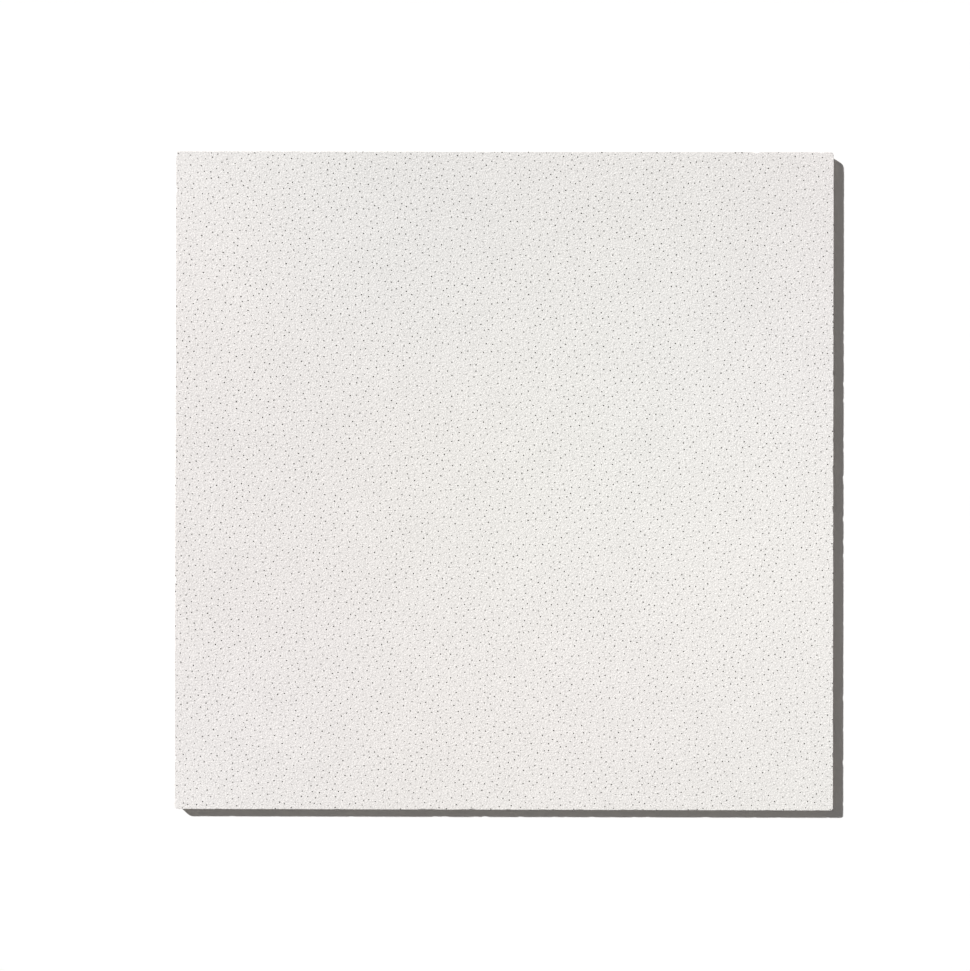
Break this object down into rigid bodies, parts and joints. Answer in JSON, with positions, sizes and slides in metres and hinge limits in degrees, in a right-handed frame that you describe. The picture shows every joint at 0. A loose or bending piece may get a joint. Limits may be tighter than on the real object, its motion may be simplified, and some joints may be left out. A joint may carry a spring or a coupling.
{
  "type": "suspended ceiling tile",
  "caption": "Square mineral-fibre ceiling board with plain sawn edges and a white pinhole face, laid into an exposed T-bar grid.",
  "frame": {"origin": "middle of the tile's back, on the surface that it lies on", "axes": "+Z out of the painted face, +X and +Y along the sides"},
  "size_m": [0.595, 0.595, 0.015],
  "materials": {
    "painted_board": "matt white paint over pressed mineral fibre, with raw fibre in the pinholes and on the sawn edges"
  },
  "bodies": {
    "root": {"ceiling_tile": "painted_board"}
  },
  "joints": []
}
